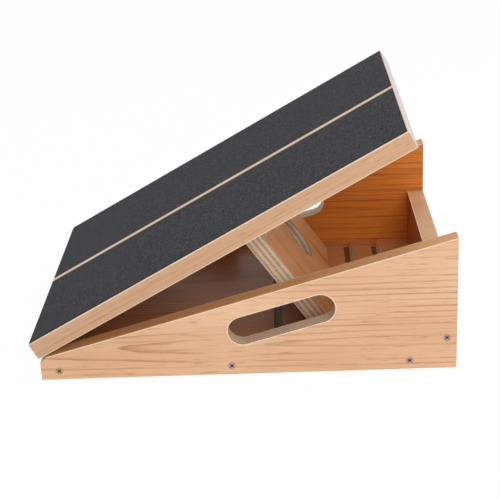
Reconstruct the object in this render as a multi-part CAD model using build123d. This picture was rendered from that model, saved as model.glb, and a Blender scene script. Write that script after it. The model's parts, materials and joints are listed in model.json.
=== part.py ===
from build123d import *
from math import atan2, cos, degrees, radians, sin, sqrt, tan
import os

# A slant board: a low open box with sloping sides, a standing deck hinged to its front,
# and a prop under the deck whose toe drops into one of four grooves in the floor.
# +X runs from the low front end to the high rear end, +Y across it and +Z up.
# The origin is the middle of the underside. All lengths are millimetres, angles degrees.

# Box
base_length = 405.0
base_width = 320.0
side_thickness = 18.0
bottom_thickness = 18.0
back_thickness = 18.0
side_front_height = 22.5
side_rear_height = 134.5
back_top = 77.0
front_bevel_start = 18.5      # height at which the front of a side panel starts to lean back
front_bevel_run = 5.8         # how far back that bevel runs along the side
edge_band = 0.8

# Hand slots in the side panels, parallel to the panels' top edges
hand_slot_x = 34.0
hand_slot_z = 56.4
hand_slot_length = 107.0
hand_slot_width = 29.0

# Deck and its grip strips
deck_length = 420.0
deck_thickness = 18.0
rest_angle = 28.8             # deck angle with the prop in the second groove
strip_thickness = 0.8
strip_margin = 1.5            # bare wood between a strip and the deck's outer edges
strip_gap = 12.0              # bare wood between the two strips

# Floor grooves: distance of each front edge from the middle of the box, and their section
groove_fronts = (26.0, 69.2, 108.0, 140.0)
groove_width = 11.0
groove_floor_width = 7.0
groove_depth = 9.0
used_groove = 1               # counted from the front, starting at 0

# Prop
prop_along_deck = 243.5       # from the deck's hinge pin to the prop's hinge pins
prop_width = 216.0
prop_thickness = 18.0
prop_top_setback = 0.6        # from the pin line to the prop's top end, at the rear face
prop_top_bevel = 25.0         # lets the prop stand steeper than square to the deck
grip_hole_diameter = 50.0
grip_hole_along = 80.4        # from the pin line down the prop
grip_hole_offset = 22.0       # towards +Y

# Hinges
knuckle_radius = 2.0
pin_radius = 1.0
pin_clearance = 0.05
leaf_thickness = 1.1
leaf_step = 2.8               # from the pin to the straight part of a leaf
knuckle_gap = 0.3
deck_hinge_leaf = 15.5
deck_hinge_end_gap = 1.0
deck_hinge_knuckles = 23
prop_hinge_leaf = 22.0
prop_hinge_width = 50.0
prop_hinge_centres = (-72.0, 72.0)
prop_hinge_knuckles = 5

# Screws: head diameter, head height, shank diameter, length
panel_screw = (7.6, 2.6, 4.0, 45.0)
leaf_screw = (4.6, 1.5, 2.4, 13.0)
recess_width = 0.9
recess_share = 0.62           # cross recess across the head, as a share of its diameter
side_screw_x = (-184.6, -15.7, 157.2)
back_screw_inset = 9.5        # from the rear face to the screw in the back panel's end
back_screw_height = 32.2
deck_hinge_screw_count = 7
prop_hinge_screw_spacing = 30.0
leaf_screw_along = 9.0        # from the pin line, on the deck hinge
prop_screw_along = 13.0       # from the pin line, on the prop hinges

# Clearances
body_gap = 0.3                # between pieces that move past each other
closed_gap = 0.3              # under the deck when it lies down on the side panels

# ---- Places worked out from the values above
front, rear = -base_length / 2, base_length / 2
inner_width = base_width - 2 * side_thickness
side_slope = (side_rear_height - side_front_height) / base_length
side_angle = degrees(atan2(side_rear_height - side_front_height, base_length))
pin_drop = knuckle_radius + body_gap
deck_pin_x = front - leaf_thickness + knuckle_radius - pin_radius - 0.1


def side_top(x):
    """Height of the side panels' top edge."""
    return side_front_height + (x - front) * side_slope


deck_pin_z = side_top(deck_pin_x) - (pin_drop - closed_gap) / cos(radians(side_angle))


def deck_point(along, up):
    """A point on the deck: along it from the hinge pin, and up from the pin line."""
    c, s = cos(radians(rest_angle)), sin(radians(rest_angle))
    return (deck_pin_x + along * c - up * s, deck_pin_z + along * s + up * c)


prop_pin_x, prop_pin_z = deck_point(prop_along_deck, 0)


def seat_prop():
    """Length to the toe and lean of the prop, so that its toe sits in the used groove.

    The front face clears the groove's front edge and the end face its rear edge by the
    body gap. Each pass moves the toe until both hold."""
    inset = pin_drop + prop_thickness
    groove_front = groove_fronts[used_groove]
    sink = groove_depth / 2
    toe_x = groove_front + groove_width / 3
    for _ in range(60):
        reach_x = toe_x - prop_pin_x
        reach_z = bottom_thickness - sink - prop_pin_z
        toe_along = sqrt(reach_x ** 2 + reach_z ** 2 - inset ** 2)
        line_fall = atan2(-reach_z, reach_x)
        lean = line_fall - atan2(inset, toe_along)
        end_rise = radians(90) - line_fall
        toe_x = groove_front + body_gap / sin(lean) + sink / tan(lean)
        rise_room = (groove_front + groove_width - toe_x) * tan(end_rise)
        sink = rise_room - body_gap / cos(end_rise)
    return toe_along, degrees(lean)


toe_along, prop_lean = seat_prop()
fold_angle = rest_angle + prop_lean


def prop_point(along, out):
    """A point on the prop: down it from its hinge pin, and out towards the rear."""
    c, s = cos(radians(prop_lean)), sin(radians(prop_lean))
    return (prop_pin_x + along * c + out * s, prop_pin_z - along * s + out * c)


def base_point(along, out):
    """A point on the front hinge's fixed leaf: down from the pin, and out to the rear."""
    return (deck_pin_x + out, deck_pin_z - along)


# ---- Building blocks
def across(y, centre=(0, 0)):
    """A plane that faces -Y, with X and Z as its own directions."""
    return Plane(origin=(centre[0], y, centre[1]), x_dir=(1, 0, 0), z_dir=(0, -1, 0))


def slab(outline, y_low, y_high):
    """A side-view outline, filled between two places across the board."""
    face = across(y_high) * Polygon(*outline, align=None)
    return extrude(face, amount=y_high - y_low, dir=(0, -1, 0))


def bar(point_of, along, out, y_low, y_high):
    """A straight bar between two distances along and out, in a deck, prop or base frame."""
    corners = [(along[0], out[0]), (along[1], out[0]), (along[1], out[1]), (along[0], out[1])]
    return slab([point_of(*corner) for corner in corners], y_low, y_high)


def rod(centre, radius, y_low, y_high):
    """A round bar that lies across the board."""
    face = across(y_high, centre) * Circle(radius)
    return extrude(face, amount=y_high - y_low, dir=(0, -1, 0))


def screw_blank(place, outward, size):
    """A countersunk screw without its recess, head flush with the surface at its place."""
    head, head_height, shank, length = size
    shank_length = length - head_height
    body = Pos(0, 0, -head_height / 2) * Cone(shank / 2, head / 2, head_height)
    body += Pos(0, 0, -head_height - shank_length / 2) * Cylinder(shank / 2, shank_length)
    return Plane(origin=place, z_dir=outward) * body


def screw(place, outward, size):
    """A countersunk screw with a cross recess turned 45 degrees."""
    head, head_height = size[0], size[1]
    arm = head * recess_share
    cross = Box(arm, recess_width, head_height) + Box(recess_width, arm, head_height)
    turned_cross = Plane(origin=place, z_dir=outward) * Rot(0, 0, 45) * cross
    return screw_blank(place, outward, size) - turned_cross


def drilled(piece, screws, size):
    """The piece with a seat cut for each screw."""
    for place, outward in screws:
        piece -= screw_blank(place, outward, size)
    return piece


def leaf(point_of, plate_out, leaf_length, y_low, y_high, knuckles, first):
    """One hinge leaf: a plate, and every second knuckle counted from the first."""
    pitch = (y_high - y_low) / knuckles
    piece = bar(point_of, (leaf_step, leaf_length), plate_out, y_low, y_high)
    for index in range(first, knuckles, 2):
        low = y_low + index * pitch + knuckle_gap / 2
        high = low + pitch - knuckle_gap
        piece += bar(point_of, (0, leaf_step), plate_out, low, high)
        piece += rod(point_of(0, 0), knuckle_radius, low, high)
    return piece - rod(point_of(0, 0), pin_radius + pin_clearance, y_low - 1, y_high + 1)


def spaced(low, high, count):
    """Places for a row, half a step in from each end."""
    step = (high - low) / count
    return [low + (index + 0.5) * step for index in range(count)]


parts = {}

# ---- Screw places, each as a point on a surface and the way the head faces
deck_down = (sin(radians(rest_angle)), 0, -cos(radians(rest_angle)))
prop_out = (sin(radians(prop_lean)), 0, cos(radians(prop_lean)))
hinge_low, hinge_high = -inner_width / 2 + deck_hinge_end_gap, inner_width / 2 - deck_hinge_end_gap
hinge_rows = spaced(hinge_low, hinge_high, deck_hinge_screw_count)


def side_screws(side):
    """Screws through one side panel: into the bottom panel, and one into the back panel."""
    spots = [(x, bottom_thickness / 2) for x in side_screw_x]
    spots.append((rear - back_screw_inset, back_screw_height))
    return [((x, side * base_width / 2, z), (0, side, 0)) for x, z in spots]


def on_surface(point_of, along, out, y, outward):
    x, z = point_of(along, out)
    return ((x, y, z), outward)


base_leaf_out = (front - leaf_thickness - deck_pin_x, front - deck_pin_x)
leaf_face = pin_drop - leaf_thickness
base_leaf_screws = [on_surface(base_point, leaf_screw_along, base_leaf_out[0], y, (-1, 0, 0))
                    for y in hinge_rows]
deck_leaf_screws = [on_surface(deck_point, leaf_screw_along, leaf_face, y, deck_down)
                    for y in hinge_rows]
prop_rows = [centre + side * prop_hinge_screw_spacing / 2
             for centre in prop_hinge_centres for side in (-1, 1)]
prop_deck_screw_along = prop_along_deck + prop_screw_along
prop_deck_screws = [on_surface(deck_point, prop_deck_screw_along, leaf_face, y, deck_down)
                    for y in prop_rows]
prop_leaf_screws = [on_surface(prop_point, prop_screw_along, -leaf_face, y, prop_out)
                    for y in prop_rows]

# ---- Box: bottom panel with its grooves
bottom = slab([(front, 0), (rear, 0), (rear, bottom_thickness), (front, bottom_thickness)],
              -inner_width / 2, inner_width / 2)
for groove_front in groove_fronts:
    groove_floor = bottom_thickness - groove_depth
    bottom -= slab([(groove_front, bottom_thickness + 1),
                    (groove_front, groove_floor),
                    (groove_front + groove_floor_width, groove_floor),
                    (groove_front + groove_width, bottom_thickness),
                    (groove_front + groove_width, bottom_thickness + 1)],
                   -base_width / 2, base_width / 2)
for side in (-1, 1):
    bottom = drilled(bottom, side_screws(side), panel_screw)
parts["bottom_panel"] = drilled(bottom, base_leaf_screws, leaf_screw)

# ---- Box: back panel, standing on the bottom panel
back = slab([(rear - back_thickness, bottom_thickness), (rear, bottom_thickness),
             (rear, back_top - edge_band), (rear - back_thickness, back_top - edge_band)],
            -inner_width / 2, inner_width / 2)
for side in (-1, 1):
    back = drilled(back, side_screws(side), panel_screw)
parts["back_panel"] = back
parts["back_band"] = slab([(rear - back_thickness, back_top - edge_band),
                           (rear, back_top - edge_band), (rear, back_top),
                           (rear - back_thickness, back_top)],
                          -inner_width / 2, inner_width / 2)

# ---- Box: side panels with hand slots, banded along their top edges
band_drop = edge_band / cos(radians(side_angle))
bevel_end = front + front_bevel_run
for name, side in (("right", -1), ("left", 1)):
    outer = side * base_width / 2
    inner = outer - side * side_thickness
    low, high = min(outer, inner), max(outer, inner)
    panel = slab([(front, 0), (rear, 0), (rear, side_top(rear) - band_drop),
                  (bevel_end, side_top(bevel_end) - band_drop), (front, front_bevel_start)],
                 low, high)
    slot_face = across(high + 1, (hand_slot_x, hand_slot_z)) * (
        Rot(0, 0, side_angle) * SlotOverall(hand_slot_length, hand_slot_width))
    panel -= extrude(slot_face, amount=side_thickness + 2, dir=(0, -1, 0))
    parts[f"side_panel_{name}"] = drilled(panel, side_screws(side), panel_screw)
    parts[f"side_band_{name}"] = slab(
        [(bevel_end, side_top(bevel_end) - band_drop), (rear, side_top(rear) - band_drop),
         (rear, side_top(rear)), (bevel_end, side_top(bevel_end))], low, high)
    parts[f"side_screws_{name}"] = Compound(
        children=[screw(place, outward, panel_screw) for place, outward in side_screws(side)])

# ---- Deck board, edge bands and grip strips
deck_low, deck_high = pin_drop, pin_drop + deck_thickness
half_deck = base_width / 2
deck = bar(deck_point, (edge_band, deck_length - edge_band), (deck_low, deck_high),
           -half_deck + edge_band, half_deck - edge_band)
deck = drilled(deck, deck_leaf_screws, leaf_screw)
parts["deck_board"] = drilled(deck, prop_deck_screws, leaf_screw)
for name, span in (("front", (0, edge_band)), ("rear", (deck_length - edge_band, deck_length))):
    parts[f"deck_band_{name}"] = bar(deck_point, span, (deck_low, deck_high), -half_deck, half_deck)
strip_along = (strip_margin, deck_length - strip_margin)
for name, side in (("right", -1), ("left", 1)):
    band = sorted((side * half_deck, side * (half_deck - edge_band)))
    strip = sorted((side * strip_gap / 2, side * (half_deck - strip_margin)))
    parts[f"deck_band_{name}"] = bar(
        deck_point, (edge_band, deck_length - edge_band), (deck_low, deck_high), *band)
    parts[f"grip_strip_{name}"] = bar(
        deck_point, strip_along, (deck_high, deck_high + strip_thickness), *strip)

# ---- Deck hinge, a long one between the side panels
leaf_out = (leaf_face, pin_drop)
parts["deck_hinge_base_leaf"] = drilled(
    leaf(base_point, base_leaf_out, deck_hinge_leaf, hinge_low, hinge_high, deck_hinge_knuckles, 0),
    base_leaf_screws, leaf_screw)
parts["deck_hinge_deck_leaf"] = drilled(
    leaf(deck_point, leaf_out, deck_hinge_leaf, hinge_low, hinge_high, deck_hinge_knuckles, 1),
    deck_leaf_screws, leaf_screw)
parts["deck_hinge_pin"] = rod((deck_pin_x, deck_pin_z), pin_radius, hinge_low, hinge_high)
parts["deck_hinge_base_screws"] = Compound(
    children=[screw(place, outward, leaf_screw) for place, outward in base_leaf_screws])
parts["deck_hinge_deck_screws"] = Compound(
    children=[screw(place, outward, leaf_screw) for place, outward in deck_leaf_screws])

# ---- Prop with its finger hole, bevelled top end and toe cut square to the pin-to-toe line
prop_front_out = -(pin_drop + prop_thickness)
end_slant = prop_thickness * (pin_drop + prop_thickness) / toe_along
top_bevel_run = prop_thickness * tan(radians(prop_top_bevel))
prop = slab([prop_point(prop_top_setback, -pin_drop),
             prop_point(toe_along + end_slant, -pin_drop),
             prop_point(toe_along, prop_front_out),
             prop_point(prop_top_setback + top_bevel_run, prop_front_out)],
            -prop_width / 2, prop_width / 2)
hole_x, hole_z = prop_point(grip_hole_along, 1)
hole_plane = Plane(origin=(hole_x, grip_hole_offset, hole_z), z_dir=prop_out)
prop -= extrude(hole_plane * Circle(grip_hole_diameter / 2),
                amount=prop_thickness + pin_drop + 4, dir=(-prop_out[0], 0, -prop_out[2]))
parts["prop_board"] = drilled(prop, prop_leaf_screws, leaf_screw)

# ---- Prop hinges, a pair of short ones
deck_leaves, prop_leaves, prop_pins = [], [], []


def prop_deck_point(along, up):
    """A point on the deck counted from the prop's hinge pins."""
    return deck_point(prop_along_deck + along, up)


for centre in prop_hinge_centres:
    low, high = centre - prop_hinge_width / 2, centre + prop_hinge_width / 2
    deck_leaf = leaf(prop_deck_point, leaf_out, prop_hinge_leaf, low, high, prop_hinge_knuckles, 0)
    prop_leaf = leaf(prop_point, (-pin_drop, -leaf_face), prop_hinge_leaf, low, high,
                     prop_hinge_knuckles, 1)
    near_rows = [y for y in prop_rows if low < y < high]
    deck_leaves.append(drilled(deck_leaf, [s for s in prop_deck_screws if s[0][1] in near_rows],
                               leaf_screw))
    prop_leaves.append(drilled(prop_leaf, [s for s in prop_leaf_screws if s[0][1] in near_rows],
                               leaf_screw))
    prop_pins.append(rod((prop_pin_x, prop_pin_z), pin_radius, low, high))
parts["prop_hinge_deck_leaves"] = Compound(children=deck_leaves)
parts["prop_hinge_prop_leaves"] = Compound(children=prop_leaves)
parts["prop_hinge_pins"] = Compound(children=prop_pins)
parts["prop_hinge_deck_screws"] = Compound(
    children=[screw(place, outward, leaf_screw) for place, outward in prop_deck_screws])
parts["prop_hinge_prop_screws"] = Compound(
    children=[screw(place, outward, leaf_screw) for place, outward in prop_leaf_screws])

# ---- One STEP file for each piece
os.makedirs("parts", exist_ok=True)
for name, piece in parts.items():
    export_step(piece, f"parts/{name}.step")
print(f"deck pin at x {deck_pin_x:.3f}, z {deck_pin_z:.3f}")
print(f"prop pin at x {prop_pin_x:.3f}, z {prop_pin_z:.3f}, lean {prop_lean:.3f}")
print(f"prop folds through {fold_angle:.2f} degrees, toe {toe_along:.2f} from the pin")
print(f"toe corner at x, z {prop_point(toe_along, prop_front_out)}")
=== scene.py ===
import bpy
import json
import math
from mathutils import Matrix, Vector


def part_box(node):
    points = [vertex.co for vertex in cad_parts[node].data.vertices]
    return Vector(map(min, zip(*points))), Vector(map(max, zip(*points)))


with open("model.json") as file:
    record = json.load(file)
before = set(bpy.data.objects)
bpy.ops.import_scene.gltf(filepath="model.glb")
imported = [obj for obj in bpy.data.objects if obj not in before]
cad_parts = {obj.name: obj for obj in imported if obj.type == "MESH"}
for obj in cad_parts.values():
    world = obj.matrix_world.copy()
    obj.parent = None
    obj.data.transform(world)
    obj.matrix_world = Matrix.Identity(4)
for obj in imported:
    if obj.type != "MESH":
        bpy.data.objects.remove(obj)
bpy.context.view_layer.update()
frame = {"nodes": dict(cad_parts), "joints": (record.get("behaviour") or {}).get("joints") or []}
nodes = frame["nodes"]
print("frame loaded:", len(nodes), "CAD nodes")

# Directions that the grain and the plies follow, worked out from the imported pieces
joints = {joint["name"]: joint for joint in frame["joints"]}
deckPin = Vector(joints["deck_tilt"]["pos_m"])
propPin = Vector(joints["prop_fold"]["pos_m"])
deckAngle = math.atan2(propPin.z - deckPin.z, propPin.x - deckPin.x)
propLean = math.radians(joints["prop_fold"]["range_deg"][1]) - deckAngle
sideLow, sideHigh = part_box("side_panel_right")
boardThickness = sideHigh.y - sideLow.y


# Node helpers
def newMaterial(name):
    material = bpy.data.materials.new(name)
    material.use_nodes = True
    material.node_tree.nodes.clear()
    return material, material.node_tree


def put(tree, kind, values=None, **settings):
    # one node; a value that is a socket is linked, any other is typed into the socket
    node = tree.nodes.new(kind)
    for key, value in settings.items():
        setattr(node, key, value)
    for key, value in (values or {}).items():
        if isinstance(value, bpy.types.NodeSocket):
            tree.links.new(value, node.inputs[key])
        else:
            node.inputs[key].default_value = value
    return node


def maths(tree, operation, first, second=0.0, third=0.0):
    values = {0: first, 1: second, 2: third}
    return put(tree, "ShaderNodeMath", values, operation=operation).outputs[0]


def mixColour(tree, amount, first, second, blend="MIX"):
    node = put(tree, "ShaderNodeMix", {0: amount, 6: first, 7: second}, data_type="RGBA", blend_type=blend)
    return node.outputs[2]


def rgba(colour):
    return (colour[0], colour[1], colour[2], 1.0)


def band(tree, value, low, high):
    # 0 below low, 1 above high, a straight rise between
    values = {"Value": value, "From Min": low, "From Max": high}
    return put(tree, "ShaderNodeMapRange", values, clamp=True).outputs[0]


def placed(tree, turn=0.0, scale=(1, 1, 1), shift=(0, 0, 0)):
    # the piece's own coordinates, turned about Y and then scaled
    place = put(tree, "ShaderNodeTexCoord").outputs["Object"]
    turned = put(tree, "ShaderNodeMapping", {"Vector": place, "Rotation": (0, turn, 0)}).outputs[0]
    return put(tree, "ShaderNodeMapping", {"Vector": turned, "Scale": scale, "Location": shift}).outputs[0]


def noise(tree, vector, scale=1.0, detail=3.0, roughness=0.5, distortion=0.0):
    values = {"Vector": vector, "Scale": scale, "Detail": detail,
              "Roughness": roughness, "Distortion": distortion}
    return put(tree, "ShaderNodeTexNoise", values).outputs[0]


def finishShader(tree, colour, roughness, height, bumpStrength, bumpDistance, **fixed):
    bump = put(tree, "ShaderNodeBump", {"Height": height, "Strength": bumpStrength,
                                        "Distance": bumpDistance})
    values = {"Base Color": colour, "Roughness": roughness, "Normal": bump.outputs[0]}
    for name, value in fixed.items():
        values[name.replace("_", " ")] = value
    shader = put(tree, "ShaderNodeBsdfPrincipled", values)
    put(tree, "ShaderNodeOutputMaterial", {"Surface": shader.outputs[0]})


# Wood veneer: growth figure, streaks and pores along the board's length
def veneer(tree, look):
    turn = look["turn"]
    across = look["across"]

    def along(length, width, shift=0.0):
        cells = [1 / length, 1 / width, 1 / width]
        cells[across] = 1 / look["depth"]
        return placed(tree, turn, cells, (shift, shift * 1.7, shift * 2.3))

    seed = look["seed"]
    warp = noise(tree, along(0.22, 0.05, seed), detail=2.0)
    cells = [1 / look["figureLength"], 1 / look["figureWidth"], 1 / look["figureWidth"]]
    cells[across] = 1 / look["depth"]
    heart = Matrix.Rotation(turn, 3, "Y") @ Vector(look["heart"])
    middle = [-heart[axis] * cells[axis] for axis in range(3)]
    rings = put(tree, "ShaderNodeTexWave", {
        "Vector": placed(tree, turn, cells, middle), "Scale": 1.0, "Distortion": 4.0,
        "Detail": 3.0, "Detail Scale": 1.3, "Detail Roughness": 0.6},
        wave_type="RINGS", rings_direction="SPHERICAL", wave_profile="SAW").outputs[1]
    streak = noise(tree, along(0.12, look["streakWidth"], seed + 7), detail=5.0, roughness=0.62,
                   distortion=0.3)
    pores = noise(tree, along(0.022, 0.0011, seed + 11), detail=2.0, roughness=0.6)
    tone = mixColour(tree, band(tree, warp, 0.32, 0.68), rgba(look["light"]), rgba(look["mid"]))
    patch = band(tree, noise(tree, along(0.16, 0.03, seed + 5), detail=1.0), 0.40, 0.58)
    ringEdge = maths(tree, "MULTIPLY", band(tree, rings, 0.70, 0.99), patch)
    ringLine = maths(tree, "MULTIPLY", ringEdge, look["ringStrength"])
    tone = mixColour(tree, ringLine, tone, rgba(look["dark"]))
    streakLine = maths(tree, "MULTIPLY", band(tree, streak, 0.56, 0.70), look["streakStrength"])
    tone = mixColour(tree, streakLine, tone, rgba(look["dark"]))
    poreLine = maths(tree, "MULTIPLY", band(tree, pores, 0.6, 0.74), look["poreStrength"])
    return mixColour(tree, poreLine, tone, rgba(look["pore"])), streak


# Bare plywood edge: thin layers of crossing grain, counted through the thickness
def plies(tree, look, layerPlace):
    count = look["plyCount"]
    layer = maths(tree, "MULTIPLY", layerPlace, count)
    wobble = noise(tree, placed(tree, 0, (25, 25, 25)), detail=2.0)
    layer = maths(tree, "ADD", layer, maths(tree, "MULTIPLY", wobble, 0.18))
    half = maths(tree, "PINGPONG", layer, 1.0)
    fibre = noise(tree, placed(tree, 0, (900, 900, 900)), detail=3.0, roughness=0.7)
    darkness = band(tree, half, 0.42, 0.58)
    speck = maths(tree, "MULTIPLY", band(tree, fibre, 0.45, 0.65), darkness)
    paleTone = mixColour(tree, band(tree, fibre, 0.35, 0.75), rgba(look["plyPale"]), rgba(look["plyMid"]))
    darkTone = mixColour(tree, speck, rgba(look["plyMid"]), rgba(look["plyDark"]))
    return mixColour(tree, darkness, paleTone, darkTone)


oakTones = {
    "light": (0.81, 0.515, 0.325), "mid": (0.73, 0.430, 0.245), "dark": (0.43, 0.185, 0.075),
    "pore": (0.33, 0.13, 0.05), "ringStrength": 0.72, "streakStrength": 0.36, "poreStrength": 0.55,
    "figureLength": 0.42, "figureWidth": 0.020, "heart": (0.15, 0, 0.03),
    "depth": 1.5, "streakWidth": 0.0024, "turn": 0.0, "across": 1, "seed": 0.0,
    "plyPale": (0.80, 0.62, 0.45), "plyMid": (0.56, 0.40, 0.27), "plyDark": (0.27, 0.17, 0.105),
    "plyCount": 9.0, "roughness": 0.46,
}


veneerRelief = {"strength": 0.12, "depth": 0.0004, "gloss": 0.3}
bandRelief = {"strength": 0.1, "depth": 0.0003}
# widths of the painted highlights, pale lines along the arrises in place of the light that small chamfers
# would catch
arrisWidth = 0.0008
deckTopArrisWidth = 0.0011


def tones(**changes):
    look = dict(oakTones)
    look.update(changes)
    return look


def measured(tree, output, direction):
    # a piece's place or normal, measured along a direction of its own frame
    vector = put(tree, "ShaderNodeTexCoord").outputs[output]
    dot = put(tree, "ShaderNodeVectorMath", {0: vector, 1: direction}, operation="DOT_PRODUCT")
    return dot.outputs["Value"]


def faceAmount(tree, direction, low, high):
    # 0 on faces that look away from a direction, 1 on those that look along it
    return band(tree, measured(tree, "Normal", direction), low, high)


def facesOf(tree, direction):
    # both faces of a board, counted by the direction that its thickness runs in
    return band(tree, maths(tree, "ABSOLUTE", measured(tree, "Normal", direction)), 0.6, 0.8)


def throughBoard(tree, direction, start, thickness):
    # 0 on one face of a board and 1 on the other
    return band(tree, measured(tree, "Object", direction), start, start + thickness)


# Side panels: veneered faces with painted shade tinted onto the inner faces, plies in the slot and at the
# ends, pale rim round the slot
slotShape = {"x": 0.034, "z": 0.0564, "length": 0.107, "width": 0.029, "rim": 0.0009,
             "rimSolid": 0.6, "rimColour": (0.90, 0.76, 0.60)}


def slotRim(tree, tilt):
    place = put(tree, "ShaderNodeTexCoord").outputs["Object"]
    local = put(tree, "ShaderNodeMapping", {"Vector": place, "Rotation": (0, tilt, 0)}).outputs[0]
    centre = Matrix.Rotation(tilt, 3, "Y") @ Vector((slotShape["x"], 0, slotShape["z"]))
    axes = put(tree, "ShaderNodeSeparateXYZ", {0: local}).outputs
    straight = (slotShape["length"] - slotShape["width"]) / 2
    alongSlot = maths(tree, "ABSOLUTE", maths(tree, "SUBTRACT", axes[0], centre.x))
    beyond = maths(tree, "MAXIMUM", maths(tree, "SUBTRACT", alongSlot, straight), 0.0)
    upSlot = maths(tree, "SUBTRACT", axes[2], centre.z)
    squares = maths(tree, "ADD", maths(tree, "MULTIPLY", beyond, beyond),
                    maths(tree, "MULTIPLY", upSlot, upSlot))
    distance = maths(tree, "SUBTRACT", maths(tree, "SQRT", squares), slotShape["width"] / 2)
    solid = slotShape["rim"] * slotShape["rimSolid"]
    return maths(tree, "SUBTRACT", 1.0, band(tree, distance, solid, slotShape["rim"]))


bandLow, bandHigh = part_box("side_band_right")
sideTilt = math.atan2(bandHigh.z - bandLow.z, bandHigh.x - bandLow.x)


def sideMaterial(name, look, outward):
    material, tree = newMaterial(name)
    outer, height = veneer(tree, look)
    # painted shade: the inner faces take a darker, more orange copy of the veneer, with darker grain
    # streaks, in place of the shade under the deck
    inner = mixColour(tree, 1.0, outer, rgba(look["innerTint"]), "MULTIPLY")
    streakLine = maths(tree, "MULTIPLY", band(tree, height, 0.5, 0.66), look["innerStreakAmount"])
    inner = mixColour(tree, streakLine, inner, rgba(look["innerStreak"]))
    outside = faceAmount(tree, outward, -0.2, 0.2)
    faces = mixColour(tree, outside, inner, outer)
    faces = mixColour(tree, slotRim(tree, sideTilt), faces, rgba(slotShape["rimColour"]))
    start = look["yStart"]
    edges = plies(tree, look, throughBoard(tree, (0, 1, 0), start, boardThickness))
    colour = mixColour(tree, facesOf(tree, (0, 1, 0)), edges, faces)
    finishShader(tree, colour, look["roughness"], height, veneerRelief["strength"],
                 veneerRelief["depth"], Specular_IOR_Level=veneerRelief["gloss"])
    return material


# Plain veneered boards, whose faces look along a given direction
def boardMaterial(name, look, faceDirection, start, thickness):
    material, tree = newMaterial(name)
    face, height = veneer(tree, look)
    through = throughBoard(tree, faceDirection, start, thickness)
    if "routed" in look:
        # the flat floors of the grooves get a darker tone, painted shade; their sloping walls show plies
        inside = maths(tree, "MULTIPLY", band(tree, through, 0.02, 0.03),
                       maths(tree, "SUBTRACT", 1.0, band(tree, through, 0.93, 0.95)))
        face = mixColour(tree, inside, face, rgba(look["routed"]))
    edges = plies(tree, look, through)
    colour = mixColour(tree, facesOf(tree, faceDirection), edges, face)
    finishShader(tree, colour, look["roughness"], height, veneerRelief["strength"],
                 veneerRelief["depth"], Specular_IOR_Level=veneerRelief["gloss"])
    return material


def bandMaterial(name, look, arrisLines=()):
    # an edge band: veneer all over, with a painted highlight, a pale line, along each arris
    material, tree = newMaterial(name)
    colour, height = veneer(tree, look)
    # painted highlight: a pale line along each arris
    for direction, place, width in arrisLines:
        offset = maths(tree, "SUBTRACT", measured(tree, "Object", direction), place)
        away = maths(tree, "ABSOLUTE", offset)
        line = maths(tree, "SUBTRACT", 1.0, band(tree, away, width * 0.5, width))
        colour = mixColour(tree, line, colour, rgba(look["arris"]))
    finishShader(tree, colour, look["roughness"], height, bandRelief["strength"], bandRelief["depth"])
    return material


# Grip strips: matt sheet with fine mineral grit
gripLook = {"base": (0.010, 0.010, 0.013), "light": (0.054, 0.052, 0.059), "spark": (0.36, 0.34, 0.34),
            "grit": 800.0, "fineGrit": 1300.0, "sparkAmount": 0.8, "haze": 0.18, "roughness": 0.86,
            "relief": 0.9, "reliefDepth": 0.0012, "gloss": 0.22}


def gripMaterial():
    material, tree = newMaterial("gritGripSheet")
    look = gripLook
    coarse = noise(tree, placed(tree, 0, (look["grit"],) * 3), detail=3.0, roughness=0.7)
    fine = noise(tree, placed(tree, 0, (look["fineGrit"],) * 3), detail=1.0)
    worn = noise(tree, placed(tree, deckAngle, (9, 9, 9)), detail=3.0)
    colour = mixColour(tree, band(tree, coarse, 0.38, 0.7), rgba(look["base"]), rgba(look["light"]))
    sparks = maths(tree, "MULTIPLY", band(tree, fine, 0.62, 0.70), look["sparkAmount"])
    colour = mixColour(tree, sparks, colour, rgba(look["spark"]))
    haze = maths(tree, "MULTIPLY", band(tree, worn, 0.45, 0.75), look["haze"])
    colour = mixColour(tree, haze, colour, rgba(look["light"]))
    finishShader(tree, colour, look["roughness"], coarse, look["relief"], look["reliefDepth"],
                 Specular_IOR_Level=look["gloss"])
    return material


# Metals
headSkin = 0.0002  # how thin a layer of a screw head counts as its outer face
# painted shade for the recesses in the screw heads
recessColour = (0.025, 0.015, 0.012)
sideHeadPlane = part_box("side_screws_left")[1].y - headSkin
metalLooks = {
    "screw": {"base": (0.50, 0.31, 0.29), "second": (0.52, 0.34, 0.16), "stain": (0.20, 0.11, 0.09),
              "roughness": 0.33, "secondEdge": -0.15, "headPlane": sideHeadPlane},
    "hinge": {"base": (0.47, 0.47, 0.46), "second": (0.47, 0.47, 0.46), "stain": (0.24, 0.23, 0.22),
              "roughness": 0.42, "secondEdge": -9.0, "headPlane": 0.0},
}


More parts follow.
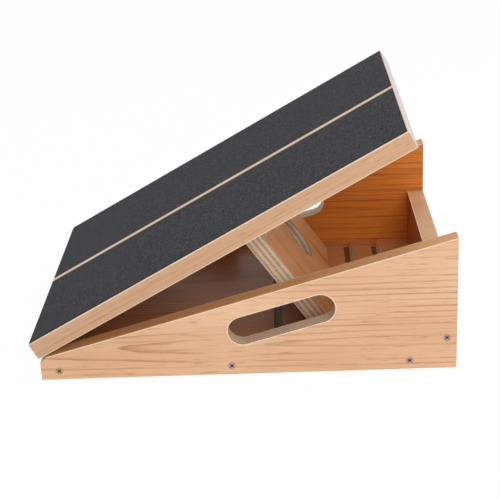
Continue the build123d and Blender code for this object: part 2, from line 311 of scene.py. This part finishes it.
def metalMaterial(name, look):
    material, tree = newMaterial(name)
    place = put(tree, "ShaderNodeTexCoord").outputs["Object"]
    alongBoard = put(tree, "ShaderNodeSeparateXYZ", {0: place}).outputs[0]
    frontOnes = maths(tree, "LESS_THAN", alongBoard, look["secondEdge"])
    colour = mixColour(tree, frontOnes, rgba(look["base"]), rgba(look["second"]))
    spots = noise(tree, placed(tree, 0, (420, 420, 420)), detail=4.0, roughness=0.65)
    brushed = noise(tree, placed(tree, 0, (60, 2500, 2500)), detail=2.0)
    colour = mixColour(tree, maths(tree, "MULTIPLY", band(tree, spots, 0.5, 0.75), 0.55),
                       colour, rgba(look["stain"]))
    if look["headPlane"]:
        # all that lies behind the head's outer face, such as the cross recess, is painted dark, as painted
        # shade
        acrossBoard = put(tree, "ShaderNodeSeparateXYZ", {0: place}).outputs[1]
        inside = maths(tree, "LESS_THAN", maths(tree, "ABSOLUTE", acrossBoard), look["headPlane"])
        colour = mixColour(tree, inside, colour, rgba(recessColour))
    rough = maths(tree, "MULTIPLY_ADD", spots, 0.3, look["roughness"] - 0.1)
    finishShader(tree, colour, rough, brushed, 0.12, 0.0001, Metallic=1.0)
    return material


def give(material, *names):
    for name in names:
        slots = nodes[name].data.materials
        slots.clear()
        slots.append(material)


deckUp = (-math.sin(deckAngle), 0, math.cos(deckAngle))
propOut = (math.sin(propLean), 0, math.cos(propLean))


def lowest(node, direction):
    # where a piece begins along a direction
    return min(Vector(direction).dot(vertex.co) for vertex in nodes[node].data.vertices)


def depthOf(node, direction):
    # how thick a piece is along a direction
    highest = max(Vector(direction).dot(vertex.co) for vertex in nodes[node].data.vertices)
    return highest - lowest(node, direction)


# Painted shade: the side panels' inner faces are tinted darker and more orange, with dark grain streaks,
# standing in for the shade inside the box
innerTint = (0.84, 0.42, 0.09)
innerStreak = (0.27, 0.065, 0.008)
innerStreakAmount = 0.62
for name, outward, seed in (("right", (0, -1, 0), 4.0), ("left", (0, 1, 0), 9.5)):
    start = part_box(f"side_panel_{name}")[0].y
    look = tones(seed=seed, yStart=start, innerTint=innerTint, innerStreak=innerStreak,
                 innerStreakAmount=innerStreakAmount, across=1)
    give(sideMaterial(f"sideVeneer_{name}", look, outward), f"side_panel_{name}")
    arrisYs = [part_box(f"side_panel_{name}")[0].y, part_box(f"side_panel_{name}")[1].y]
    bandLook = tones(light=(0.66, 0.33, 0.13), mid=(0.57, 0.27, 0.095), arris=(0.86, 0.70, 0.52),
                     turn=sideTilt, across=2, seed=seed + 1)
    lines = [((0, 1, 0), y, arrisWidth) for y in arrisYs]
    give(bandMaterial(f"sideBand_{name}", bandLook, lines), f"side_band_{name}")
# Painted shade: the floor's veneer tones are a dark, saturated orange that stands in for the shade under the
# deck, not the board's own tan
floorLook = tones(seed=14.0, across=2, light=(0.50, 0.21, 0.075), mid=(0.41, 0.155, 0.055), roughness=0.36,
                  dark=(0.20, 0.06, 0.02), streakWidth=0.009, streakStrength=0.7, routed=(0.13, 0.05, 0.018),
                  plyPale=(0.85, 0.70, 0.54), plyMid=(0.74, 0.55, 0.38), plyDark=(0.50, 0.34, 0.21))
give(boardMaterial("floorVeneer", floorLook, (0, 0, 1), 0.0, boardThickness), "bottom_panel")
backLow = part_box("back_panel")[0]
# Painted shade: the back panel's veneer is a deep red-brown that stands in for the shade inside the box
backLook = tones(seed=21.0, across=0, light=(0.45, 0.16, 0.045), mid=(0.37, 0.12, 0.03))
backMat = boardMaterial("backVeneer", backLook, (1, 0, 0), backLow.x, boardThickness)
give(backMat, "back_panel")
backBandLook = tones(light=(0.62, 0.36, 0.19), mid=(0.54, 0.29, 0.14), arris=(0.86, 0.70, 0.52),
                     across=2, seed=24.0)
give(bandMaterial("backBand", backBandLook, [((1, 0, 0), backLow.x, arrisWidth)]), "back_band")
print("box materials made")

deckLook = tones(seed=31.0, turn=deckAngle, across=2, light=(0.86, 0.66, 0.50), mid=(0.78, 0.57, 0.42),
                 dark=(0.55, 0.33, 0.20), ringStrength=0.2)
deckStart = lowest("deck_board", deckUp)
deckDepth = depthOf("deck_board", deckUp)
give(boardMaterial("deckVeneer", deckLook, deckUp, deckStart, deckDepth), "deck_board")
deckArris = [(deckUp, deckStart + deckDepth, deckTopArrisWidth), (deckUp, deckStart, arrisWidth)]
for name, seed in (("left", 35.0), ("right", 37.0)):
    bandLook = tones(light=(0.66, 0.41, 0.25), mid=(0.58, 0.34, 0.195), arris=(0.88, 0.70, 0.52),
                     turn=deckAngle, across=1, seed=seed, heart=(-0.1, 0, 0.03))
    give(bandMaterial(f"deckBand_{name}", bandLook, deckArris), f"deck_band_{name}")
# Painted highlight: the front and rear deck bands get a pale grey-pink tone that stands in for glare on
# them, not the wood's own tan
for name, seed in (("front", 41.0), ("rear", 43.0)):
    bandLook = tones(light=(0.68, 0.61, 0.57), mid=(0.62, 0.55, 0.51), dark=(0.48, 0.39, 0.34),
                     arris=(0.90, 0.82, 0.74), across=0, seed=seed, ringStrength=0.1, streakStrength=0.15)
    give(bandMaterial(f"deckBand_{name}", bandLook, deckArris), f"deck_band_{name}")
give(gripMaterial(), "grip_strip_left", "grip_strip_right")
print("deck materials made")

propLook = tones(seed=51.0, turn=-propLean, across=2, light=(0.66, 0.33, 0.135), mid=(0.57, 0.26, 0.095),
                 dark=(0.30, 0.095, 0.03), plyCount=7.0, streakWidth=0.011, streakStrength=0.75)
propStart = lowest("prop_board", propOut)
give(boardMaterial("propVeneer", propLook, propOut, propStart, depthOf("prop_board", propOut)),
     "prop_board")
give(metalMaterial("platedScrew", metalLooks["screw"]), "side_screws_left", "side_screws_right")
give(metalMaterial("zincHinge", metalLooks["hinge"]),
     *[name for name in nodes if "hinge" in name])
print("prop and metal materials made")

# Floor, light and camera
stageLook = {"floorSize": 12.0, "floorDrop": 0.0002, "floorColour": (0.80, 0.80, 0.80),
             "floorWhiteness": 0.965, "worldGrey": (0.86, 0.87, 0.90), "worldStrength": 0.46,
             "lampAim": (0, 0, 0.1)}


def seenByEye(tree):
    # 1 for what the camera sees, straight or in a reflection
    rays = put(tree, "ShaderNodeLightPath").outputs
    return maths(tree, "MAXIMUM", rays["Is Camera Ray"], rays["Is Glossy Ray"])


bpy.ops.object.select_all(action="DESELECT")
bpy.ops.mesh.primitive_plane_add(size=stageLook["floorSize"], location=(0, 0, -stageLook["floorDrop"]))
floor = bpy.context.object
floor.name = "studioFloor"
bpy.ops.object.transform_apply(location=True)
floorMat, tree = newMaterial("studioFloorPaint")
paint = put(tree, "ShaderNodeBsdfDiffuse", {"Color": rgba(stageLook["floorColour"])})
whiteness = put(tree, "ShaderNodeEmission", {"Color": (1, 1, 1, 1), "Strength": 1.0})
# a little of the paint stays under the white, so that the floor keeps a faint shadow
whiteShare = maths(tree, "MULTIPLY", seenByEye(tree), stageLook["floorWhiteness"])
surface = put(tree, "ShaderNodeMixShader", {0: whiteShare, 1: paint.outputs[0], 2: whiteness.outputs[0]})
put(tree, "ShaderNodeOutputMaterial", {"Surface": surface.outputs[0]})
floor.data.materials.append(floorMat)

world = bpy.data.worlds.new("studioWorld")
bpy.context.scene.world = world
world.use_nodes = True
tree = world.node_tree
tree.nodes.clear()
soft = put(tree, "ShaderNodeBackground", {"Color": rgba(stageLook["worldGrey"]),
                                          "Strength": stageLook["worldStrength"]})
white = put(tree, "ShaderNodeBackground", {"Color": (1, 1, 1, 1), "Strength": 1.0})
sky = put(tree, "ShaderNodeMixShader", {0: seenByEye(tree), 1: soft.outputs[0], 2: white.outputs[0]})
put(tree, "ShaderNodeOutputWorld", {"Surface": sky.outputs[0]})

lamps = {
    "keyPanel": {"place": (0.5, -1.9, 1.1), "size": 1.3, "power": 25.0, "colour": (1.0, 0.985, 0.96)},
    "topPanel": {"place": (0.3, 0.2, 2.0), "size": 1.4, "power": 12.0, "colour": (1.0, 1.0, 1.0)},
    "rearPanel": {"place": (1.6, 0.6, 0.9), "size": 0.9, "power": 4.5, "colour": (1.0, 0.99, 0.98)},
}
for name, lamp in lamps.items():
    data = bpy.data.lights.new(name, "AREA")
    data.size = lamp["size"]
    data.energy = lamp["power"]
    data.color = lamp["colour"]
    light = bpy.data.objects.new(name, data)
    bpy.context.scene.collection.objects.link(light)
    light.location = lamp["place"]
    aim = (Vector(stageLook["lampAim"]) - light.location).to_track_quat("-Z", "Y")
    light.rotation_mode = "QUATERNION"
    light.rotation_quaternion = aim

cameraSet = {"place": (0.0389, -1.3096, 0.5863), "azimuth": 1.599, "elevation": 21.655,
             "roll": -2.491, "lens": 94.757}
turn, tilt, roll = (math.radians(cameraSet[key]) for key in ("azimuth", "elevation", "roll"))
back = Vector((math.sin(turn) * math.cos(tilt), -math.cos(turn) * math.cos(tilt), math.sin(tilt)))
side = Vector((math.cos(turn), math.sin(turn), 0))
up = back.cross(side)
right = side * math.cos(roll) + up * math.sin(roll)
up = up * math.cos(roll) - side * math.sin(roll)
camera = bpy.data.objects.new("camera", bpy.data.cameras.new("camera"))
bpy.context.scene.collection.objects.link(camera)
camera.data.lens = cameraSet["lens"]
facing = Matrix((right, up, back)).transposed().to_4x4()
camera.matrix_world = Matrix.Translation(cameraSet["place"]) @ facing
bpy.context.scene.camera = camera
bpy.context.scene.view_settings.view_transform = "Standard"
print("stage set")
